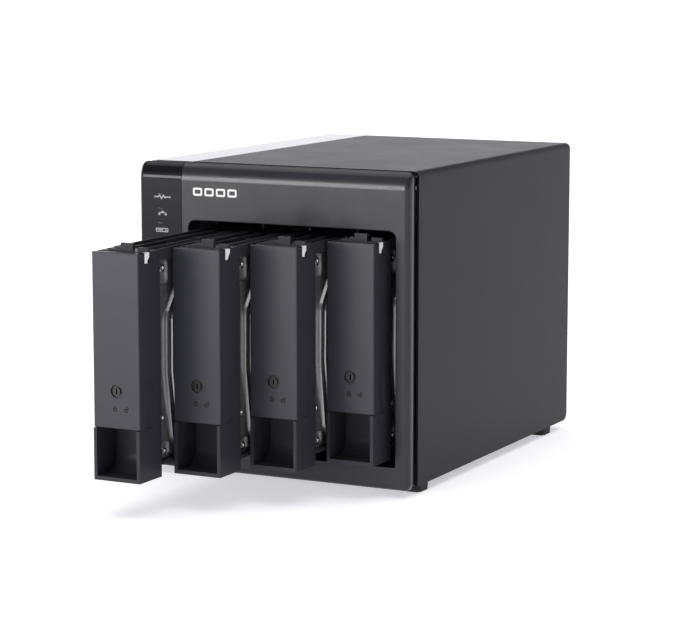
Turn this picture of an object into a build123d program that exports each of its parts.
from build123d import *
import os
from math import cos, radians, sin

os.makedirs("parts", exist_ok=True)

# Four-bay desktop network storage enclosure with its drive trays drawn out like stairs.
# Row frame, millimetres: +X to the right, +Y towards the back, +Z up, origin on the desk
# below the middle of the whole object.

# ---- driving dimensions -------------------------------------------------------------
case_width = 160.0
case_height = 168.5
case_depth = 219.0
foot_height = 4.8

bezel_depth = 11.6
bezel_lip = 5.5
groove_depth = 2.0
bezel_bottom = 3.7
brow_height = 9.0
corner_radius = 3.2
column_width = 26.4
seam = 0.2

bay_left = -49.5
bay_right = 72.3
bay_bottom = 15.9
bay_top = 138.4

sheet = 1.2
cover_gap = 0.2
band_width = 27.3
band_thickness = 0.6
band_drop = 4.0

tray_count = 4
tray_width = 26.6
tray_pitch = 28.1
trays_middle = 11.8
tray_bottom = 18.9
tray_top = 133.4
tray_draws = (104.4, 73.7, 45.4, 15.1)
tray_length = 171.0
housing_depth = 21.0
tray_wall = 1.8
pocket_top = 45.3

door_front = 0.5
door_thickness = 2.0
hinge_back = 5.0
hinge_drop = 3.0
pivot_radius = 1.3
running_gap = 0.05
free_gap = 0.3

lock_height = 64.4
lock_radius = 3.45

drive_width = 101.6
drive_length = 147.0
drive_thickness = 26.1
drive_bottom = 26.5
drive_front = 22.0

cage_sheet = 1.0
cage_end = 176.0
backplane_front = 171.6
board_sheet = 1.6
main_board_left = -67.0

fan_size = 120.0
fan_thickness = 25.0
fan_middle_x = 11.0
fan_middle_z = 87.0
fan_bore_radius = 57.5
fan_hole_pitch = 105.0

panel_front = 214.8
panel_back = panel_front + sheet

# ---- values worked out from them ----------------------------------------------------
overall_depth = case_depth + tray_draws[0]
case = Vector(0, tray_draws[0] - overall_depth / 2, 0)
half_width = case_width / 2
column_right = -half_width + column_width
bezel_left = column_right + seam
cover_inside = half_width - sheet
cover_ceiling = case_height - sheet
half_tray = tray_width / 2
half_cavity = half_tray - tray_wall
hinge_z = tray_top - hinge_drop
drive_top = drive_bottom + drive_width
drive_back = drive_front + drive_length
drive_left = -drive_thickness / 2
main_board_right = main_board_left + board_sheet
backplane_back = backplane_front + board_sheet
fan_back = panel_front
fan_front = fan_back - fan_thickness


def tray_middle(index):
    """Middle of a tray across the case."""
    return trays_middle + (index - (tray_count - 1) / 2) * tray_pitch


def tray_place(index):
    """Middle of a tray's front face, at desk height, where the tray stands drawn out."""
    return case + Vector(tray_middle(index), -tray_draws[index], 0)


def facing(place, back):
    """Plane that looks out of the front: x to the right, y up, at a depth behind a place."""
    return Plane(origin=place + Vector(0, back, 0), x_dir=(1, 0, 0), z_dir=(0, -1, 0))


def side(place, across):
    """Plane square to the width: x towards the back, y up, normal to the right."""
    return Plane(origin=place + Vector(across, 0, 0), x_dir=(0, 1, 0), z_dir=(1, 0, 0))


def level(place, height):
    """Horizontal plane at a height: x to the right, y towards the back."""
    return Plane(origin=place + Vector(0, 0, height), x_dir=(1, 0, 0), z_dir=(0, 0, 1))


def span(low, high, mode=Mode.ADD):
    """Rectangle between two opposite corners of the sketch's own axes."""
    with Locations(((low[0] + high[0]) / 2, (low[1] + high[1]) / 2)):
        Rectangle(high[0] - low[0], high[1] - low[1], mode=mode)


def block(place, x, y, z, mode=Mode.ADD):
    """Box between two limits along each axis, measured from a place."""
    middle = Vector((x[0] + x[1]) / 2, (y[0] + y[1]) / 2, (z[0] + z[1]) / 2)
    with Locations(place + middle):
        Box(x[1] - x[0], y[1] - y[0], z[1] - z[0], mode=mode)


def cover_outline(inset, mode=Mode.ADD):
    """Rounded section of the case, drawn in by an inset and running on below the floor."""
    overrun = 20.0
    height = case_height - inset + overrun
    with Locations((0, height / 2 - overrun)):
        RectangleRounded(case_width - 2 * inset, height, corner_radius - inset, mode=mode)


def save(piece, name):
    """Label a finished piece and write it to its own file."""
    piece.label = name
    export_step(piece, f"parts/{name}.step")


# ---- front: bezel and status column -------------------------------------------------
bezel_wall = 2.4
bay_corner_radius = 4.0
bay_foot_radius = 1.0
bay_edge_radius = 0.5


def brow_profile():
    """Side outline of the front's lip: upright face that rolls over into the top."""
    brow_low = case_height - brow_height
    with BuildLine() as profile:
        EllipticalCenterArc((bezel_lip, brow_low), bezel_lip, brow_height, 90, arc_size=90)
        Polyline(
            (0, brow_low),
            (0, bezel_bottom),
            (bezel_lip, bezel_bottom),
            (bezel_lip, case_height),
        )
    make_face(profile.edges())


with BuildPart() as front_bezel:
    with BuildSketch(side(case, bezel_left)):
        brow_profile()
    extrude(amount=half_width - bezel_left)
    outer_edges = front_bezel.faces().sort_by(Axis.X)[-1].edges().sort_by(Axis.Y)[:-1]
    front_foot = front_bezel.edges().filter_by(Axis.X).group_by(Axis.Z)[0].sort_by(Axis.Y)[0]
    fillet([*outer_edges, front_foot], corner_radius)
    with BuildSketch(facing(case, bezel_lip)):
        span(
            (bezel_left, foot_height + seam),
            (half_width - groove_depth, case_height - groove_depth),
        )
    extrude(amount=-(bezel_depth - bezel_lip))
    with BuildSketch(facing(case, 0)) as bay_outline:
        span((bay_left, bay_bottom), (bay_right, bay_top))
        fillet(bay_outline.vertices().group_by(Axis.Y)[-1], bay_corner_radius)
        fillet(bay_outline.vertices().group_by(Axis.Y)[0], bay_foot_radius)
    extrude(amount=-bezel_depth, mode=Mode.SUBTRACT)
    bay_rim = front_bezel.faces().sort_by(Axis.Y)[0].inner_wires().edges()
    fillet(bay_rim, bay_edge_radius)
    block(
        case,
        (bezel_left + bezel_wall, half_width - groove_depth - bezel_wall),
        (bezel_wall, bezel_depth + 1),
        (bay_top + bezel_wall, case_height - groove_depth - bezel_wall),
        Mode.SUBTRACT,
    )
save(front_bezel.part, "front_bezel")

column_wall = 2.0
column_middle = -half_width + column_width / 2
window_heights = (151.6, 143.8, 136.0)
window_size = (3.0, 0.9)
button_height = 33.0
button_radius = 6.0

with BuildPart() as status_column:
    with BuildSketch(side(case, -half_width)):
        brow_profile()
    extrude(amount=column_width)
    outer_edges = status_column.faces().sort_by(Axis.X)[0].edges().sort_by(Axis.Y)[:-1]
    front_foot = status_column.edges().filter_by(Axis.X).group_by(Axis.Z)[0].sort_by(Axis.Y)[0]
    fillet([*outer_edges, front_foot], corner_radius)
    with BuildSketch(facing(case, bezel_lip)):
        span(
            (-half_width + groove_depth, foot_height + seam),
            (column_right, case_height - groove_depth),
        )
    extrude(amount=-(bezel_depth - bezel_lip))
    block(
        case,
        (-half_width + groove_depth + column_wall, column_right - column_wall),
        (column_wall, bezel_depth + 1),
        (foot_height + column_wall, case_height - groove_depth - column_wall),
        Mode.SUBTRACT,
    )
    with BuildSketch(facing(case, 0)):
        with Locations(*[(column_middle, height) for height in window_heights]):
            Rectangle(window_size[0] + 0.2, window_size[1] + 0.2)
        with Locations((column_middle, button_height)):
            Circle(button_radius + free_gap)
    extrude(amount=-(column_wall + 1), mode=Mode.SUBTRACT)
save(status_column.part, "status_column")

with BuildPart() as status_windows:
    with BuildSketch(facing(case, 0.05)):
        with Locations(*[(column_middle, height) for height in window_heights]):
            Rectangle(*window_size)
    extrude(amount=-13.0)
save(status_windows.part, "status_windows")

button_tail = 11.0
button_sunk = 0.3
button_flange = 1.2
button_stem_radius = 2.5
symbol_line = 0.5
symbol_size = 2.6

with BuildPart() as power_button:
    with BuildSketch(facing(case, button_sunk)):
        with Locations((column_middle, button_height)):
            Circle(button_radius)
    extrude(amount=-(column_wall + 2 * button_sunk))
    front_edge = power_button.faces().sort_by(Axis.Y)[0].edges()
    fillet(front_edge, 0.6)
    with BuildSketch(facing(case, column_wall + free_gap)):
        with Locations((column_middle, button_height)):
            Circle(button_radius + button_flange)
    extrude(amount=-button_flange)
    with BuildSketch(facing(case, column_wall + free_gap)):
        with Locations((column_middle, button_height)):
            Circle(button_stem_radius)
    extrude(amount=-(button_tail - column_wall))
    with BuildSketch(facing(case, button_sunk)):
        with Locations((column_middle, button_height)):
            SlotArc(CenterArc((0, 0), symbol_size, 120, 300), symbol_line)
            SlotOverall(symbol_size, symbol_line, rotation=90)
    extrude(amount=-symbol_line / 2, mode=Mode.SUBTRACT)
save(power_button.part, "power_button")

# ---- shell: cover, top band, base pan, feet -----------------------------------------
cover_length = case_depth - bezel_depth
band_right = -half_width + band_width
band_bottom = case_height - band_drop
tab_middle_x = 57.0
tab_width = 14.0
tab_drop = 11.0
rear_screw_high = cover_ceiling - 6.0
rear_screw_low = 13.0
tapped_radius = 1.3

with BuildPart() as outer_cover:
    with BuildSketch(facing(case, bezel_depth)):
        cover_outline(0)
        cover_outline(sheet, Mode.SUBTRACT)
        span((-half_width, -case_height), (half_width, foot_height), Mode.SUBTRACT)
    extrude(amount=-cover_length)
    with BuildSketch(facing(case, bezel_depth)):
        cover_outline(0)
        cover_outline(band_thickness, Mode.SUBTRACT)
        span(
            (-half_width, band_bottom - seam),
            (band_right + seam, case_height),
            Mode.INTERSECT,
        )
    extrude(amount=-cover_length, mode=Mode.SUBTRACT)
    rear_lower = (
        outer_cover.edges()
        .filter_by(Axis.X)
        .group_by(Axis.Z)[0]
        .group_by(Axis.Y)[-1]
    )
    fillet(rear_lower, 4.5)
    for middle in (-tab_middle_x, tab_middle_x):
        block(
            case,
            (middle - tab_width / 2, middle + tab_width / 2),
            (panel_front - 0.1 - sheet, panel_front - 0.1),
            (cover_ceiling - tab_drop, cover_ceiling),
        )
    with BuildSketch(facing(case, panel_front)):
        with Locations((-tab_middle_x, rear_screw_high), (tab_middle_x, rear_screw_high)):
            Circle(tapped_radius)
    extrude(amount=sheet + 1, mode=Mode.SUBTRACT)
save(outer_cover.part, "outer_cover")

with BuildPart() as top_band:
    with BuildSketch(facing(case, bezel_depth)):
        cover_outline(0)
        cover_outline(band_thickness, Mode.SUBTRACT)
        span((-half_width, band_bottom), (band_right, case_height), Mode.INTERSECT)
    extrude(amount=-cover_length)
save(top_band.part, "top_band")

pan_side = cover_inside - cover_gap
pan_floor = foot_height + 0.4
pan_top = pan_floor + sheet
pan_front = bezel_depth + 0.3
pan_back = panel_front - 0.2
pan_flange = 10.0
foot_size = (12.5, 13.0)
foot_across = 72.1
foot_places = [(across * foot_across, back) for across in (-1, 1) for back in (24.0, 194.0)]
foot_screw_radius = 1.6
vent_size = (3.0, 44.0)
vent_pitch = 9.0
vent_count = 12
vent_rows = (70.0, 150.0)

with BuildPart() as base_pan:
    block(case, (-pan_side, pan_side), (pan_front, pan_back), (pan_floor, pan_top))
    for edge in (-pan_side, pan_side - sheet):
        block(case, (edge, edge + sheet), (pan_front, pan_back), (pan_top, pan_top + pan_flange))
    block(
        case,
        (-pan_side, pan_side),
        (pan_back - sheet, pan_back),
        (pan_top, pan_top + pan_flange),
    )
    with BuildSketch(level(case, pan_floor)):
        with Locations(*[(0, row) for row in vent_rows]):
            with GridLocations(vent_pitch, 0, vent_count, 1):
                SlotOverall(vent_size[1], vent_size[0], rotation=90)
        with Locations(*foot_places):
            Circle(foot_screw_radius)
    extrude(amount=sheet, mode=Mode.SUBTRACT)
    with BuildSketch(facing(case, pan_back)):
        with Locations((-tab_middle_x, rear_screw_low), (tab_middle_x, rear_screw_low)):
            Circle(tapped_radius)
    extrude(amount=sheet, mode=Mode.SUBTRACT)
save(base_pan.part, "base_pan")

with BuildPart() as feet:
    with BuildSketch(level(case, pan_floor)):
        with Locations(*foot_places):
            RectangleRounded(foot_size[0], foot_size[1], 3.0)
    extrude(amount=-pan_floor, taper=4)
save(feet.part, "feet")

# ---- drive cage ---------------------------------------------------------------------
cage_left = bay_left - 0.4
cage_right = bay_right + 0.6
cage_front = bezel_depth + 0.2
cage_floor_top = 14.0
cage_floor_sheet = 1.5
runner_top = drive_bottom - 1.5 - free_gap
runner_front = housing_depth + 1.0
cage_ceiling_bottom = 140.0
guide_bottom = 135.2
guide_reach = 6.0
divider_sheet = 0.8
runner_width = 1.8
runner_offset = 8.5
rail_end = backplane_front - 1.5
window_opening = (26.0, 60.0)
window_backs = (50.0, 90.0, 130.0)
window_middle = 77.0

with BuildPart() as cage_walls:
    for outside in (cage_left - cage_sheet, cage_right):
        block(
            case,
            (outside, outside + cage_sheet),
            (cage_front, cage_end),
            (pan_top + 0.1, cage_ceiling_bottom + cage_floor_sheet),
        )
    with BuildSketch(side(case, cage_left - cage_sheet - 1)):
        with Locations(*[(back, window_middle) for back in window_backs]):
            RectangleRounded(*window_opening, 3.0)
    extrude(amount=cage_right - cage_left + 2 * cage_sheet + 2, mode=Mode.SUBTRACT)
save(cage_walls.part, "cage_walls")

with BuildPart() as cage_floor:
    block(
        case,
        (cage_left, cage_right),
        (cage_front, cage_end),
        (cage_floor_top - cage_floor_sheet, cage_floor_top),
    )
    for index in range(tray_count):
        for across in (-runner_offset, runner_offset):
            runner = tray_middle(index) + across
            block(
                case,
                (runner - runner_width / 2, runner + runner_width / 2),
                (runner_front, rail_end),
                (cage_floor_top, runner_top),
            )
    for index in range(tray_count + 1):
        divider = tray_middle(index) - tray_pitch / 2
        block(
            case,
            (divider - divider_sheet / 2, divider + divider_sheet / 2),
            (runner_front, rail_end),
            (cage_floor_top, runner_top + guide_reach),
        )
save(cage_floor.part, "cage_floor")

with BuildPart() as cage_ceiling:
    block(
        case,
        (cage_left, cage_right),
        (cage_front, cage_end),
        (cage_ceiling_bottom, cage_ceiling_bottom + cage_floor_sheet),
    )
    for index in range(tray_count + 1):
        divider = tray_middle(index) - tray_pitch / 2
        block(
            case,
            (divider - divider_sheet / 2, divider + divider_sheet / 2),
            (runner_front, rail_end),
            (guide_bottom - guide_reach, cage_ceiling_bottom),
        )
save(cage_ceiling.part, "cage_ceiling")

# ---- electronics --------------------------------------------------------------------
connector_length = 42.0
connector_low = 34.0
connector_left = drive_left + 3.4
connector_width = 5.2
connector_reach = 4.2
connector_slot = (1.6, 2.9)
connector_slot_back = 1.0
connector_tongues = ((1.5, 24.0), (26.0, 40.0))
backplane_gap = 0.4
air_hole_right = 11.0
air_holes = ((-3.5, 30.0, 74.0), (-9.0, 84.0, 124.0))

with BuildPart() as backplane_board:
    with BuildSketch(facing(case, backplane_front)):
        span(
            (cage_left + backplane_gap, cage_floor_top + backplane_gap),
            (cage_right - backplane_gap, cage_ceiling_bottom - backplane_gap),
        )
        for index in range(tray_count):
            middle = tray_middle(index)
            for left, low, high in air_holes:
                span((middle + left, low), (middle + air_hole_right, high), Mode.SUBTRACT)
    extrude(amount=-board_sheet)
save(backplane_board.part, "backplane_board")

with BuildPart() as drive_connectors:
    for index in range(tray_count):
        left = tray_middle(index) + connector_left
        block(
            case,
            (left, left + connector_width),
            (backplane_front - connector_reach, backplane_front),
            (connector_low, connector_low + connector_length),
        )
        for low, high in connector_tongues:
            block(
                case,
                (left + connector_slot[0], left + connector_slot[1]),
                (backplane_front - connector_reach, backplane_front - connector_slot_back),
                (connector_low + low, connector_low + high),
                Mode.SUBTRACT,
            )
save(drive_connectors.part, "drive_connectors")

board_front = 16.0
board_back = 212.0
board_low = 14.0
board_high = 158.0
board_hole_radius = 1.7
board_hole_backs = (board_front + 5.0, board_back - 5.0)
board_hole_heights = (board_low + 4.0, board_high - 4.0)
board_notch_length = 46.0
board_notch_low = 128.0

with BuildPart() as main_board:
    with BuildSketch(side(case, main_board_left)):
        span((board_front, board_low), (board_back, board_high))
        with Locations(*[(back, height) for back in board_hole_backs for height in board_hole_heights]):
            Circle(board_hole_radius, mode=Mode.SUBTRACT)
        span((board_back - board_notch_length, board_notch_low), (board_back, board_high), Mode.SUBTRACT)
    extrude(amount=board_sheet)
save(main_board.part, "main_board")

header_back = 160.0
header_length = 8.0
header_half_height = 5.0
cable_height = 40.0
cable_x = -58.0
half_chip = 8.5
chip_height = 1.2
memory_chip = (60.0, 100.0)
processor = (110.0, 60.0)
sink_left = main_board_right + chip_height
sink_base = 1.8
fin_height = 7.8
fin_count = 7
fin_pitch = 2.6
half_fin = 0.5
capacitor_backs = (130.0, 142.0, 154.0)
capacitor_height = 110.0
capacitor_radius = 4.0
capacitor_length = 10.5
coil_backs = (132.0, 150.0)
coil_middle = 85.0
half_coil = 5.0
switch_depth = 3.5
half_switch = 3.0
indicator_depth = 2.0
half_indicator = 0.8

with BuildPart() as board_components:
    for back, height in (memory_chip, processor):
        block(
            case,
            (main_board_right, main_board_right + chip_height),
            (back - half_chip, back + half_chip),
            (height - half_chip, height + half_chip),
        )
    sink_span = (processor[1] - half_chip, processor[1] + half_chip)
    for step in range(fin_count):
        fin = processor[0] + (step - (fin_count - 1) / 2) * fin_pitch
        block(case, (sink_left, sink_left + fin_height), (fin - half_fin, fin + half_fin), sink_span)
    block(
        case,
        (sink_left, sink_left + sink_base),
        (processor[0] - half_chip, processor[0] + half_chip),
        sink_span,
    )
    with BuildSketch(side(case, main_board_right)):
        with Locations(*[(back, capacitor_height) for back in capacitor_backs]):
            Circle(capacitor_radius)
    extrude(amount=capacitor_length)
    for back in coil_backs:
        block(
            case,
            (main_board_right, main_board_right + half_coil),
            (back - half_coil, back + half_coil),
            (coil_middle - half_coil, coil_middle + half_coil),
        )
    block(
        case,
        (main_board_right, cable_x + 3.0),
        (header_back - header_length, header_back),
        (cable_height - header_half_height, cable_height + header_half_height),
    )
    block(
        case,
        (main_board_left, main_board_right),
        (board_front - switch_depth, board_front),
        (button_height - half_switch, button_height + half_switch),
    )
    for height in window_heights:
        block(
            case,
            (main_board_left, main_board_right),
            (board_front - indicator_depth, board_front),
            (height - half_indicator, height + half_indicator),
        )
save(board_components.part, "board_components")

# ---- rear panel and what shows through it -------------------------------------------
port_x = -60.0
jack_height = 30.0
usb_height = 52.0
dip_height = 74.0
mode_height = 92.0
lock_slot_height = 128.0
jack_radius = 4.6
usb_size = (3.4, 9.2)
dip_size = (6.4, 10.6)
mode_radius = 1.8
port_clearance = 0.3
lock_slot_size = (7.0, 3.0)
panel_high = cover_ceiling - cover_gap
screw_hole_radius = 1.7
fan_screw_hole_radius = 2.1
slit_size = (10.0, 3.0)
slit_pitch = 9.0
slit_count = 9
slit_height = 155.0

with BuildPart() as rear_panel:
    with BuildSketch(facing(case, panel_front)) as panel_outline:
        span((-pan_side, pan_floor), (pan_side, panel_high))
        fillet(panel_outline.vertices().group_by(Axis.Y)[-1], corner_radius)
        with Locations((fan_middle_x, fan_middle_z)):
            Circle(fan_bore_radius, mode=Mode.SUBTRACT)
            with GridLocations(fan_hole_pitch, fan_hole_pitch, 2, 2):
                Circle(fan_screw_hole_radius, mode=Mode.SUBTRACT)
        with Locations((port_x, jack_height)):
            Circle(jack_radius + port_clearance, mode=Mode.SUBTRACT)
        with Locations((port_x, usb_height)):
            SlotOverall(
                usb_size[1] + 2 * port_clearance,
                usb_size[0] + 2 * port_clearance,
                rotation=90,
                mode=Mode.SUBTRACT,
            )
        with Locations((port_x, dip_height)):
            Rectangle(dip_size[0] + 2 * port_clearance, dip_size[1] + 2 * port_clearance, mode=Mode.SUBTRACT)
        with Locations((port_x, mode_height)):
            Circle(mode_radius + free_gap, mode=Mode.SUBTRACT)
        with Locations((port_x, lock_slot_height)):
            SlotOverall(*lock_slot_size, rotation=90, mode=Mode.SUBTRACT)
        for height in (rear_screw_low, rear_screw_high):
            with Locations((-tab_middle_x, height), (tab_middle_x, height)):
                Circle(screw_hole_radius, mode=Mode.SUBTRACT)
        with Locations((fan_middle_x, slit_height)):
            with GridLocations(slit_pitch, 0, slit_count, 1):
                SlotOverall(*slit_size, rotation=90, mode=Mode.SUBTRACT)
    extrude(amount=-sheet)
save(rear_panel.part, "rear_panel")

port_back = panel_back + 0.2
jack_body_back = panel_front - 0.3
jack_body_length = 12.5
half_jack_body = 5.4
jack_collar = 2.0
jack_bore_radius = 3.2
jack_bore_depth = 9.5
jack_pin_radius = 1.0

with BuildPart() as power_jack:
    block(
        case,
        (main_board_right, port_x + half_jack_body),
        (jack_body_back - jack_body_length, jack_body_back),
        (jack_height - half_jack_body, jack_height + half_jack_body),
    )
    with BuildSketch(facing(case, port_back)):
        with Locations((port_x, jack_height)):
            Circle(jack_radius)
    extrude(amount=jack_collar)
    with BuildSketch(facing(case, port_back)):
        with Locations((port_x, jack_height)):
            Circle(jack_bore_radius)
            Circle(jack_pin_radius, mode=Mode.SUBTRACT)
    extrude(amount=jack_bore_depth, mode=Mode.SUBTRACT)
save(power_jack.part, "power_jack")

usb_length = 9.0
usb_depth = 7.5
usb_shell = 0.4
usb_tongue = (0.7, 6.4)
usb_tongue_length = 6.5
usb_tongue_inset = 1.5
usb_bracket_inset = 2.0
half_usb_bracket = 4.0

with BuildPart() as usb_port:
    with BuildSketch(facing(case, port_back)):
        with Locations((port_x, usb_height)):
            SlotOverall(usb_size[1], usb_size[0], rotation=90)
    extrude(amount=usb_length)
    with BuildSketch(facing(case, port_back)):
        with Locations((port_x, usb_height)):
            SlotOverall(usb_size[1] - 2 * usb_shell, usb_size[0] - 2 * usb_shell, rotation=90)
    extrude(amount=usb_depth, mode=Mode.SUBTRACT)
    tongue_back = port_back - usb_tongue_inset
    block(
        case,
        (port_x - usb_tongue[0] / 2, port_x + usb_tongue[0] / 2),
        (tongue_back - usb_tongue_length, tongue_back),
        (usb_height - usb_tongue[1] / 2, usb_height + usb_tongue[1] / 2),
    )
    block(
        case,
        (main_board_right, port_x - usb_size[0] / 2 + port_clearance),
        (port_back - usb_length, port_back - usb_bracket_inset),
        (usb_height - half_usb_bracket, usb_height + half_usb_bracket),
    )
save(usb_port.part, "usb_port")

dip_count = 3
dip_pitch = 3.2
slider_size = 1.4
dip_face = panel_back
dip_body_depth = 8.0
dip_slot_depth = 3.0
dip_slot_half = 2.0
slider_proud = 0.6

with BuildPart() as dip_switch:
    dip_span = (dip_height - dip_size[1] / 2, dip_height + dip_size[1] / 2)
    dip_left = port_x - dip_size[0] / 2
    block(case, (dip_left, dip_left + dip_size[0]), (dip_face - dip_body_depth, dip_face), dip_span)
    dip_foot = (dip_face - dip_body_depth, panel_front - port_clearance)
    block(case, (main_board_right, dip_left), dip_foot, dip_span)
    for step in range(dip_count):
        height = dip_height + (step - 1) * dip_pitch
        block(
            case,
            (port_x - dip_slot_half, port_x + dip_slot_half),
            (dip_face - dip_slot_depth, dip_face + slider_proud),
            (height - slider_size / 2 - free_gap, height + slider_size / 2 + free_gap),
            Mode.SUBTRACT,
        )
save(dip_switch.part, "dip_switch")

for step in range(dip_count):
    slider_height = dip_height + (step - 1) * dip_pitch
    slider_left = port_x - dip_slot_half + free_gap
    with BuildPart() as dip_slider:
        block(
            case,
            (slider_left, slider_left + slider_size),
            (dip_face - dip_slot_depth + free_gap, dip_face + slider_proud),
            (slider_height - slider_size / 2, slider_height + slider_size / 2),
        )
    save(dip_slider.part, f"dip_slider_{step + 1}")

mode_proud = 0.9
mode_length = 7.0
mode_flange = 1.0

with BuildPart() as mode_button:
    with BuildSketch(facing(case, panel_back + mode_proud)):
        with Locations((port_x, mode_height)):
            Circle(mode_radius)
    extrude(amount=mode_length)
    with BuildSketch(facing(case, panel_front - free_gap)):
        with Locations((port_x, mode_height)):
            Circle(mode_radius + mode_flange)
    extrude(amount=mode_flange)
save(mode_button.part, "mode_button")

# ---- fan ----------------------------------------------------------------------------
fan_middle = case + Vector(fan_middle_x, 0, fan_middle_z)
hub_radius = 19.0
axle_radius = 1.5
strut_depth = 3.0
strut_width = 4.0
strut_reach = fan_bore_radius + 1.0
fan_corner_radius = 6.0
fan_hole_radius = 2.15

with BuildPart() as fan_frame:
    with BuildSketch(facing(fan_middle, fan_front)):
        RectangleRounded(fan_size, fan_size, fan_corner_radius)
        Circle(fan_bore_radius, mode=Mode.SUBTRACT)
        with GridLocations(fan_hole_pitch, fan_hole_pitch, 2, 2):
            Circle(fan_hole_radius, mode=Mode.SUBTRACT)
    extrude(amount=-fan_thickness)
    with BuildSketch(facing(fan_middle, fan_front)):
        Circle(hub_radius)
        with PolarLocations(strut_reach / 2, 4, 45):
            Rectangle(strut_reach, strut_width)
        Circle(axle_radius + running_gap, mode=Mode.SUBTRACT)
    extrude(amount=-strut_depth)
save(fan_frame.part, "fan_frame")

blade_count = 7
blade_tip = fan_bore_radius - 1.6
rotor_front = fan_front + strut_depth + 0.6
rotor_back = fan_back - 1.4
blade_middle = (rotor_front + rotor_back) / 2
blade_sections = ((hub_radius - 1.5, 42.0, 15.0), (blade_tip, 28.0, 30.0))
blade_sheet = 1.4
hub_rounding = 2.0

with BuildPart() as fan_rotor:
    with BuildSketch(facing(fan_middle, rotor_front)):
        Circle(hub_radius)
    extrude(amount=-(rotor_back - rotor_front))
    hub_rim = fan_rotor.faces().sort_by(Axis.Y)[-1].edges()
    fillet(hub_rim, hub_rounding)
    with BuildSketch(facing(fan_middle, rotor_front)):
        Circle(axle_radius)
    extrude(amount=strut_depth)
    for step in range(blade_count):
        turn = radians(step * 360.0 / blade_count)
        outward = Vector(cos(turn), 0, sin(turn))
        across = Vector(-sin(turn), 0, cos(turn))
        for reach, pitch, width in blade_sections:
            chord = across * cos(radians(pitch)) + Vector(0, 1, 0) * sin(radians(pitch))
            middle = fan_middle + Vector(0, blade_middle, 0) + outward * reach
            with BuildSketch(Plane(origin=middle, x_dir=chord, z_dir=outward)):
                Rectangle(width, blade_sheet)
        loft()
save(fan_rotor.part, "fan_rotor")

guard_rings = (54.0, 44.0, 34.0, 24.0, 14.0)
guard_wire = 1.4
guard_spoke = 2.0
eye_radius = 3.6
eye_reach = fan_hole_pitch / 2 * 2**0.5

with BuildPart() as fan_guard:
    with BuildSketch(facing(fan_middle, panel_back)):
        for radius in guard_rings:
            Circle(radius + guard_wire / 2)
            Circle(radius - guard_wire / 2, mode=Mode.SUBTRACT)
        with PolarLocations((guard_rings[-1] + eye_reach) / 2, 4, 45):
            Rectangle(eye_reach - guard_rings[-1], guard_spoke)
        with GridLocations(fan_hole_pitch, fan_hole_pitch, 2, 2):
            Circle(eye_radius)
        with GridLocations(fan_hole_pitch, fan_hole_pitch, 2, 2):
            Circle(screw_hole_radius, mode=Mode.SUBTRACT)
    extrude(amount=-guard_wire)
save(fan_guard.part, "fan_guard")

head_height = 1.4
case_head_radius = 2.9
case_thread_radius = 1.2
case_thread_length = 4.0
drive_slot = (3.2, 0.6)
drive_slot_depth = 0.3
guard_back = panel_back + guard_wire
screw_places = []
for across in (-1, 1):
    for height in (rear_screw_low, rear_screw_high):
        screw_places.append((across * tab_middle_x, height, panel_back))
    for up in (-1, 1):
        eye_x = fan_middle_x + across * fan_hole_pitch / 2
        eye_z = fan_middle_z + up * fan_hole_pitch / 2
        screw_places.append((eye_x, eye_z, guard_back))

with BuildPart() as case_screws:
    for screw_x, screw_z, seat in screw_places:
        with BuildSketch(facing(case, seat)):
            with Locations((screw_x, screw_z)):
                Circle(case_head_radius)
        extrude(amount=-head_height)
        with BuildSketch(facing(case, seat)):
            with Locations((screw_x, screw_z)):
                Circle(case_thread_radius)
        extrude(amount=case_thread_length)
        with BuildSketch(facing(case, seat + head_height)):
            with Locations((screw_x, screw_z)):
                Rectangle(*drive_slot)
                Rectangle(*drive_slot[::-1])
        extrude(amount=drive_slot_depth, mode=Mode.SUBTRACT)
save(case_screws.part, "case_screws")

cable_start_x = -44.0
cable_turn = backplane_back + 6.0
cable_bend = 5.0
cable_radius = 0.8

with BuildPart() as fan_cable:
    with BuildLine() as cable_path:
        FilletPolyline(
            case + Vector(cable_start_x, fan_front, cable_height),
            case + Vector(cable_start_x, cable_turn, cable_height),
            case + Vector(cable_x, cable_turn, cable_height),
            case + Vector(cable_x, header_back, cable_height),
            radius=cable_bend,
        )
    with BuildSketch(facing(case + Vector(cable_start_x, 0, cable_height), fan_front)):
        Circle(cable_radius)
    sweep(path=cable_path.line)
save(fan_cable.part, "fan_cable")

# ---- trays --------------------------------------------------------------------------
door_back = door_front + door_thickness
door_low = pocket_top + free_gap
door_lip = 1.2
door_edge = 0.35
knuckle_width = 2.0
stiffener = 1.6
ear_radius = hinge_back - door_back - free_gap
roof_front = hinge_back + 3.4
pocket_low = tray_bottom + 2.0
pocket_back = 18.6
pocket_crease_radius = 9.0
shelf_low = 53.0
shelf_top = 54.6
shelf_front = 8.0
cavity_top = tray_top - 1.0
side_recess = 0.5
side_recess_top = 69.0
rail_sheet = 1.5
rail_low = drive_bottom - rail_sheet - 0.1
rail_high = drive_top + 0.1
rib_low = rail_high + rail_sheet
rib_top = tray_top + 0.4
long_ribs = ((-half_tray, -12.0), (-4.6, -3.6), (5.0, 6.0), (12.0, half_tray))
cross_rib_count = 6
cross_rib_pitch = 26.0
cross_rib_sheet = 1.2
latch_back = (9.4, 11.4)
latch_steps = ((-9.5, -5.0, 0.9), (-5.0, -2.0, 1.9), (-2.0, 5.0, 3.9))
rear_stop = (6.5, 12.3)
rear_stop_depth = 2.0
rear_stop_height = 1.8
overcut = 1.0
first_rib = 8.0
cross_rib_drop = 1.0
side_recess_backs = (7.0, 13.0)
pin_places = (28.5, 130.1)
pin_across = drive_left + 6.35
pin_radius = 1.3
pin_length = 2.0
pipe_left = 8.8
pipe_size = 2.2
pipe_low = rib_low + free_gap
pipe_front = 6.9
pipe_back = 11.2
pipe_foot = 128.0
pipe_fit = 0.2
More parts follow.
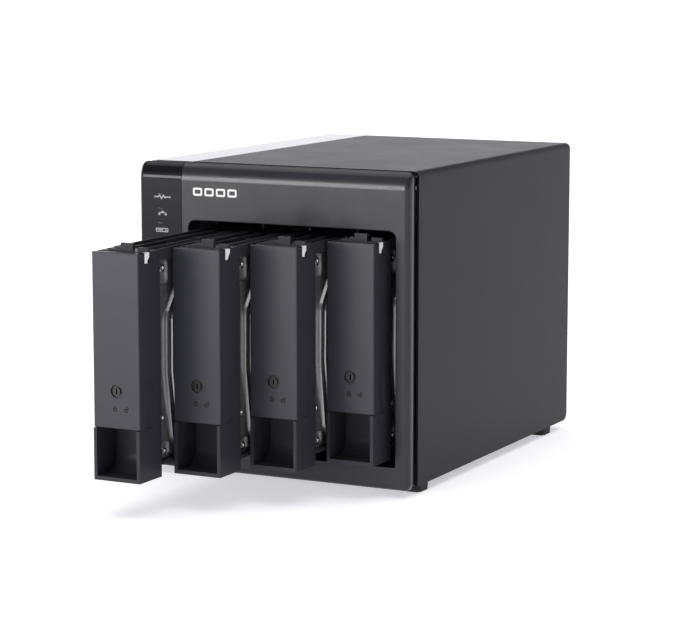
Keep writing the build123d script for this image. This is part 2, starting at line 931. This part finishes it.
pipe_wedge = ((0.0, 3.0), (-1.6, 1.4), (-1.8, 0.0))
ear_front = door_front + 1.0
ear_below = 2.0
ear_top = tray_top - 0.5
stub_end = half_tray - 0.1
flange_sheet = 1.0
flange_depth = 2.4
flange_top = hinge_z - 6.0
stiffener_depth = 2.0
collar_radius = lock_radius + 2.0
collar_depth = 2.6
lock_bore_end = 8.0
lock_groove = (2.15, 3.2)
lock_groove_depth = 0.8
key_slot = (0.8, 2.8)
key_slot_depth = 4.0
cam_hub_radius = 3.0
cam_offset = 2.8
cam_width = 4.0
lock_tail = 11.0
cam_back = door_front + lock_tail
cam_sheet = 1.4
cam_length = 10.4


def tray_frame(index):
    """Moulded tray: front housing with its finger pocket, and the rails that hold the drive."""
    place = tray_place(index)
    with BuildPart() as frame:
        with BuildSketch(side(place, -half_tray)):
            span((0, tray_bottom), (housing_depth, pocket_top))
            span((door_back + free_gap, pocket_top), (housing_depth, hinge_z))
            span((hinge_back + 1.0, hinge_z), (housing_depth, tray_top))
            with Locations((hinge_back, hinge_z)):
                Circle(ear_radius)
        extrude(amount=tray_width)
        block(
            place,
            (-half_cavity, half_cavity),
            (-overcut, pocket_back),
            (pocket_low, shelf_low),
            Mode.SUBTRACT,
        )
        pocket_floor = frame.edges().filter_by(Axis.X).filter_by_position(
            Axis.Z, pocket_low - 0.01, pocket_low + 0.01
        )
        fillet(pocket_floor.sort_by(Axis.Y)[-1], pocket_crease_radius)
        block(
            place,
            (-half_cavity, half_cavity),
            (-overcut, pocket_back),
            (shelf_top, cavity_top),
            Mode.SUBTRACT,
        )
        block(
            place,
            (-half_cavity, half_cavity),
            (-overcut, roof_front),
            (cavity_top - overcut, tray_top + overcut),
            Mode.SUBTRACT,
        )
        block(
            place,
            (-half_cavity, half_cavity),
            (-overcut, shelf_front),
            (shelf_low - overcut, shelf_top + overcut),
            Mode.SUBTRACT,
        )
        with BuildSketch(side(place, -half_tray)):
            with Locations((hinge_back, hinge_z)):
                Circle(pivot_radius + running_gap)
        extrude(amount=tray_width, mode=Mode.SUBTRACT)
        for height in (rail_low, rail_high):
            block(
                place,
                (-half_tray, half_tray),
                (housing_depth, tray_length),
                (height, height + rail_sheet),
            )
        for left, right in long_ribs:
            block(place, (left, right), (housing_depth, tray_length), (rib_low, rib_top))
        for step in range(cross_rib_count):
            rib = housing_depth + first_rib + step * cross_rib_pitch
            block(
                place,
                (long_ribs[0][1], long_ribs[2][0]),
                (rib, rib + cross_rib_sheet),
                (rib_low, rib_top - cross_rib_drop),
            )
        for left, right, height in latch_steps:
            block(place, (left, right), latch_back, (tray_top, tray_top + height))
        block(
            place,
            rear_stop,
            (latch_back[1], latch_back[1] + rear_stop_depth),
            (tray_top, tray_top + rear_stop_height),
        )
        for pin in pin_places:
            with BuildSketch(level(place, rail_low + rail_sheet)):
                with Locations((pin_across, drive_front + pin)):
                    Circle(pin_radius)
            extrude(amount=pin_length)
        block(
            place,
            (half_cavity - pipe_fit, half_tray + overcut),
            (pipe_front - free_gap, pipe_back + free_gap),
            (pipe_foot - free_gap, tray_top + overcut),
            Mode.SUBTRACT,
        )
        block(
            place,
            (pipe_left - pipe_fit, pipe_left + pipe_size + pipe_fit),
            (pocket_back - overcut, housing_depth + overcut),
            (pipe_low - pipe_fit, pipe_low + pipe_size + pipe_fit),
            Mode.SUBTRACT,
        )
        for outer in (-half_tray, half_tray - side_recess):
            block(
                place,
                (outer, outer + side_recess),
                side_recess_backs,
                (pocket_top, side_recess_top),
                Mode.SUBTRACT,
            )
    return frame.part


def tray_door(index):
    """Handle flap over the tray's front, hung on two stubs behind its head."""
    place = tray_place(index)
    narrow = half_cavity - free_gap
    with BuildPart() as door:
        with BuildSketch(facing(place, door_front)):
            span((-half_tray, door_low), (half_tray, tray_top))
        extrude(amount=-door_thickness)
        front_edges = door.faces().sort_by(Axis.Y)[0].edges()
        chamfer(front_edges, door_edge)
        block(place, (-narrow, narrow), (door_back, hinge_back), (tray_top - door_lip, tray_top))
        for left in (-narrow, narrow - knuckle_width):
            with BuildSketch(side(place, left)):
                with Locations((hinge_back, hinge_z)):
                    Circle(ear_radius)
                span((ear_front, hinge_z - ear_below), (hinge_back, ear_top))
            extrude(amount=knuckle_width)
        for inner, outer in ((-narrow, -stub_end), (narrow, stub_end)):
            with BuildSketch(side(place, inner)):
                with Locations((hinge_back, hinge_z)):
                    Circle(pivot_radius)
            extrude(amount=outer - inner)
        for left in (-narrow, narrow - flange_sheet):
            block(
                place,
                (left, left + flange_sheet),
                (door_back, door_back + flange_depth),
                (door_low + stiffener, flange_top),
            )
        block(
            place,
            (-narrow, narrow),
            (door_back, door_back + stiffener_depth),
            (door_low, door_low + stiffener),
        )
        with BuildSketch(facing(place, door_back)):
            with Locations((0, lock_height)):
                Circle(collar_radius)
        extrude(amount=-collar_depth)
        with BuildSketch(facing(place, 0)):
            with Locations((0, lock_height)):
                Circle(lock_radius + running_gap)
        extrude(amount=-lock_bore_end, mode=Mode.SUBTRACT)
    return door.part


def tray_lock(index):
    """Key lock: barrel with a ring groove and key slot, and the cam on its tail."""
    place = tray_place(index)
    with BuildPart() as lock:
        with BuildSketch(facing(place, door_front)):
            with Locations((0, lock_height)):
                Circle(lock_radius)
        extrude(amount=-lock_tail)
        with BuildSketch(facing(place, cam_back)):
            with Locations((0, lock_height)):
                Circle(cam_hub_radius)
            with Locations((cam_offset, lock_height)):
                SlotOverall(cam_length, cam_width)
        extrude(amount=-cam_sheet)
        with BuildSketch(facing(place, door_front)):
            with Locations((0, lock_height)):
                Circle(lock_groove[1])
                Circle(lock_groove[0], mode=Mode.SUBTRACT)
        extrude(amount=-lock_groove_depth, mode=Mode.SUBTRACT)
        with BuildSketch(facing(place, door_front)):
            with Locations((0, lock_height)):
                Rectangle(*key_slot)
        extrude(amount=-key_slot_depth, mode=Mode.SUBTRACT)
    return lock.part


def light_pipe(index):
    """Clear rod along the upper rail, with a wedge-shaped head in the housing's side."""
    place = tray_place(index)
    head_top = tray_top - pipe_fit
    with BuildPart() as pipe:
        with BuildSketch(side(place, half_cavity)):
            with BuildLine():
                Polyline(
                    (pipe_front, head_top),
                    (pipe_back, head_top),
                    *[(pipe_back + back, pipe_foot + up) for back, up in pipe_wedge],
                    (pipe_front, pipe_foot),
                    close=True,
                )
            make_face()
        extrude(amount=tray_wall - running_gap)
        block(
            place,
            (pipe_left, half_cavity + 0.1),
            (pipe_back - pipe_size, pipe_back),
            (pipe_low, pipe_low + pipe_size),
        )
        block(
            place,
            (pipe_left, pipe_left + pipe_size),
            (pipe_back - pipe_size, tray_length - 1.0),
            (pipe_low, pipe_low + pipe_size),
        )
    return pipe.part


# ---- hard drives --------------------------------------------------------------------
casting_left = drive_left + 2.4
casting_right = drive_left + 22.4
casting_rounding = 2.0
lid_sheet = 0.9
lid_face = casting_right + lid_sheet
lid_inset = 0.6
corner_notch = 10.6
notch_low = 8.0
notch_high = 12.6
boss_radius = 3.0
boss_back = 4.4
step_height = 1.5
crown_height = 0.8
crown_inset = 4.6
dome_rounding = 8.0
head_radius = 1.9
head_proud = 1.4
screw_spots = (
    (boss_back, 4.2),
    (boss_back, 97.0),
    (2.9, 21.3),
    (54.0, 2.5),
    (54.0, 98.6),
    (112.0, 2.5),
    (112.0, 98.6),
    (143.0, 5.0),
    (143.0, 96.6),
)
star_radius = 1.0
star_depth = 0.6
socket_gap = 0.5
socket_depth = 3.5
pin_hole_depth = 3.0
spindle_back = 60.0
spindle_height = 62.8
spindle_radii = (13.0, 21.0)
spindle_depth = 1.6
underside = drive_left + 0.8
board_areas = (((78.0, 3.0), (145.0, 98.6)), ((30.0, 3.0), (80.0, 40.0)))
chip_places = ((128.0, 98.0, 14.0), (126.0, 62.0, 10.0), (70.0, 48.0, 8.0))
drive_chip_height = 0.7
dome_corners = (
    (13.0, 4.5),
    (7.2, 44.0),
    (7.6, 73.0),
    (24.5, 95.5),
    (100.0, 95.5),
    (126.0, 70.0),
    (126.0, 30.0),
    (104.0, 4.5),
)
step_taper = 20
crown_taper = 30
crown_rounding = 0.4


def drive_body(index):
    """Cast base of a hard drive: corner bosses, side threads and the connector's recess."""
    place = tray_place(index)
    with BuildPart() as casting:
        block(
            place,
            (casting_left, casting_right),
            (drive_front, drive_back),
            (drive_bottom, drive_top),
        )
        corner_edges = casting.edges().filter_by(Axis.X)
        fillet(corner_edges, casting_rounding)
        block(
            place,
            (connector_left - socket_gap, connector_left + connector_width + socket_gap),
            (drive_back - socket_depth, drive_back + overcut),
            (connector_low - socket_gap, connector_low + connector_length + socket_gap),
            Mode.SUBTRACT,
        )
        for height, direction in ((drive_bottom, 1), (drive_top, -1)):
            with BuildSketch(level(place, height)):
                with Locations(*[(pin_across, drive_front + pin) for pin in pin_places]):
                    Circle(pin_radius + free_gap)
            extrude(amount=pin_hole_depth * direction, mode=Mode.SUBTRACT)
        with BuildSketch(side(place, casting_left)):
            with Locations((drive_front + spindle_back, drive_bottom + spindle_height)):
                Circle(spindle_radii[1])
                Circle(spindle_radii[0], mode=Mode.SUBTRACT)
        extrude(amount=spindle_depth, mode=Mode.SUBTRACT)
        with BuildSketch(side(place, casting_right)):
            with Locations(*[(drive_front + back, drive_bottom + up) for back, up in screw_spots[:2]]):
                Circle(boss_radius)
        extrude(amount=lid_sheet)
    return casting.part


def drive_board(index):
    """Circuit board on the underside of a hard drive, with its chips."""
    place = tray_place(index)
    with BuildPart() as board:
        with BuildSketch(side(place, underside)):
            with Locations((drive_front, drive_bottom)):
                for low, high in board_areas:
                    span(low, high)
        extrude(amount=casting_left - underside)
        for back, height, size in chip_places:
            with BuildSketch(side(place, underside)):
                with Locations((back, height)):
                    Rectangle(size, size)
            extrude(amount=-drive_chip_height)
    return board.part


def dome_outline():
    """Raised area of a drive's cover: upright front edge that turns back towards both ends."""
    with BuildLine() as outline:
        Polyline(*[(drive_front + back, drive_bottom + up) for back, up in dome_corners], close=True)
    make_face(outline.edges())


def drive_lid(index):
    """Pressed top cover of a hard drive: notched corners, a stepped dome over its discs."""
    place = tray_place(index)
    lid_low = drive_bottom + lid_inset
    lid_high = drive_top - lid_inset
    lid_front = drive_front + lid_inset
    lid_back = drive_back - lid_inset
    with BuildPart() as lid:
        with BuildSketch(side(place, casting_right)) as outline:
            span((lid_front, lid_low + notch_low), (lid_back, lid_high - notch_high))
            span((lid_front + corner_notch, lid_low), (lid_back, lid_high))
            fillet(outline.vertices(), casting_rounding)
        extrude(amount=lid_sheet)
        with BuildSketch(side(place, lid_face)) as dome:
            dome_outline()
            fillet(dome.vertices(), dome_rounding)
        extrude(amount=step_height, taper=step_taper)
        with BuildSketch(side(place, lid_face + step_height)) as crown:
            dome_outline()
            fillet(crown.vertices(), dome_rounding)
            offset(amount=-crown_inset)
        extrude(amount=crown_height, taper=crown_taper)
        crown_rim = lid.faces().sort_by(Axis.X)[-1].edges()
        fillet(crown_rim, crown_rounding)
    return lid.part


def drive_screws(index):
    """Star-head screws round the edge of a hard drive's cover."""
    place = tray_place(index)
    with BuildPart() as screws:
        for back, height in screw_spots:
            with BuildSketch(side(place, lid_face)):
                with Locations((drive_front + back, drive_bottom + height)):
                    Circle(head_radius)
            extrude(amount=head_proud)
            with BuildSketch(side(place, lid_face + head_proud)):
                with Locations((drive_front + back, drive_bottom + height)):
                    RegularPolygon(star_radius, 6)
            extrude(amount=-star_depth, mode=Mode.SUBTRACT)
    return screws.part


for number in range(tray_count):
    tray = f"tray_{number + 1}"
    save(tray_frame(number), f"{tray}_frame")
    save(tray_door(number), f"{tray}_door")
    save(tray_lock(number), f"{tray}_lock")
    save(light_pipe(number), f"{tray}_light_pipe")
    save(drive_body(number), f"{tray}_drive_body")
    save(drive_board(number), f"{tray}_drive_board")
    save(drive_lid(number), f"{tray}_drive_cover")
    save(drive_screws(number), f"{tray}_drive_screws")
